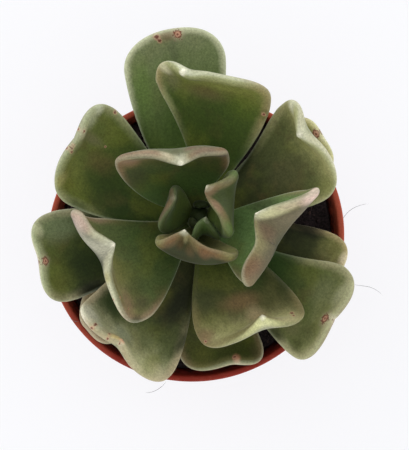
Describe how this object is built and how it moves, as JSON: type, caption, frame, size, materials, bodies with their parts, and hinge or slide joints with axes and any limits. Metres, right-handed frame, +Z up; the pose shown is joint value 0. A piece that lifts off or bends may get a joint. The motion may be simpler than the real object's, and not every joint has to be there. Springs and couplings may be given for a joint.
{
  "type": "potted echeveria",
  "caption": "Succulent rosette of thick, upturned, fan-shaped leaves growing from a short stem in a round, thin-walled nursery pot filled with soil.",
  "frame": {"origin": "centre of the pot's base, on the surface it stands on", "axes": "+Z up along the pot's axis, +Y towards the longest low leaf, +X to the right of it seen from above"},
  "size_m": [0.1141, 0.1268, 0.1375],
  "materials": {
    "pot_plastic": "satin terracotta-coloured polypropylene",
    "potting_soil": "damp, crumbly dark peat with fine fibres",
    "stem_bark": "dull, scarred succulent stem",
    "leaf_flesh": "waxy, with a pale bloom towards the margin"
  },
  "bodies": {
    "root": {"leaf_heart_1": "leaf_flesh", "leaf_heart_2": "leaf_flesh", "leaf_heart_3": "leaf_flesh", "leaf_heart_4": "leaf_flesh", "leaf_heart_5": "leaf_flesh", "leaf_middle_1": "leaf_flesh", "leaf_middle_2": "leaf_flesh", "leaf_middle_3": "leaf_flesh", "leaf_middle_4": "leaf_flesh", "leaf_middle_5": "leaf_flesh", "leaf_outer_1": "leaf_flesh", "leaf_outer_2": "leaf_flesh", "leaf_outer_3": "leaf_flesh", "leaf_outer_4": "leaf_flesh", "leaf_outer_5": "leaf_flesh", "leaf_outer_6": "leaf_flesh", "leaf_upper_1": "leaf_flesh", "leaf_upper_2": "leaf_flesh", "leaf_upper_3": "leaf_flesh", "leaf_upper_4": "leaf_flesh", "pot": "pot_plastic", "soil": "potting_soil", "stem": "stem_bark"}
  },
  "joints": []
}
